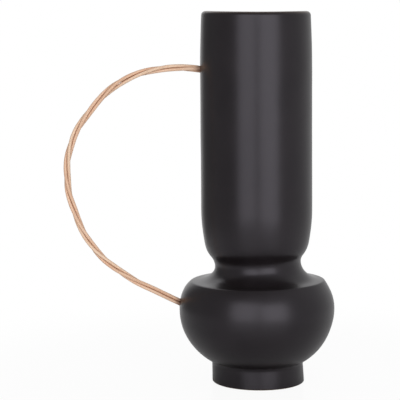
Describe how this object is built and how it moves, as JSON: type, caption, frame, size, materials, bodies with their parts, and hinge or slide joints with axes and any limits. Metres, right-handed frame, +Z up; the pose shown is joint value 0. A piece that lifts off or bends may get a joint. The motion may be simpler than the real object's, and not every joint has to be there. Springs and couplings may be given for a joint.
{
  "type": "ceramic vase with cane handle",
  "caption": "Tall glazed vase, a straight open tube on a waisted round bulb and foot, with a twisted cane hoop handle glued into its wall.",
  "frame": {"origin": "centre of the foot ring's underside, on the vessel's axis", "axes": "+Z up along the vessel's axis to the open mouth, -X towards the handle, so the handle's hoop lies in the XZ plane"},
  "size_m": [0.2565, 0.1474, 0.35],
  "materials": {
    "black_glaze": "satin black glaze, slightly uneven, bare clay under the foot",
    "rattan": "peeled cane, unvarnished, fine long fibres",
    "glue": "set clear brown glue"
  },
  "bodies": {
    "root": {"vase_body": "black_glaze", "rattan_cane_1": "rattan", "rattan_cane_2": "rattan", "rattan_cane_3": "rattan", "upper_glue_plug": "glue", "lower_glue_plug": "glue"}
  },
  "joints": []
}
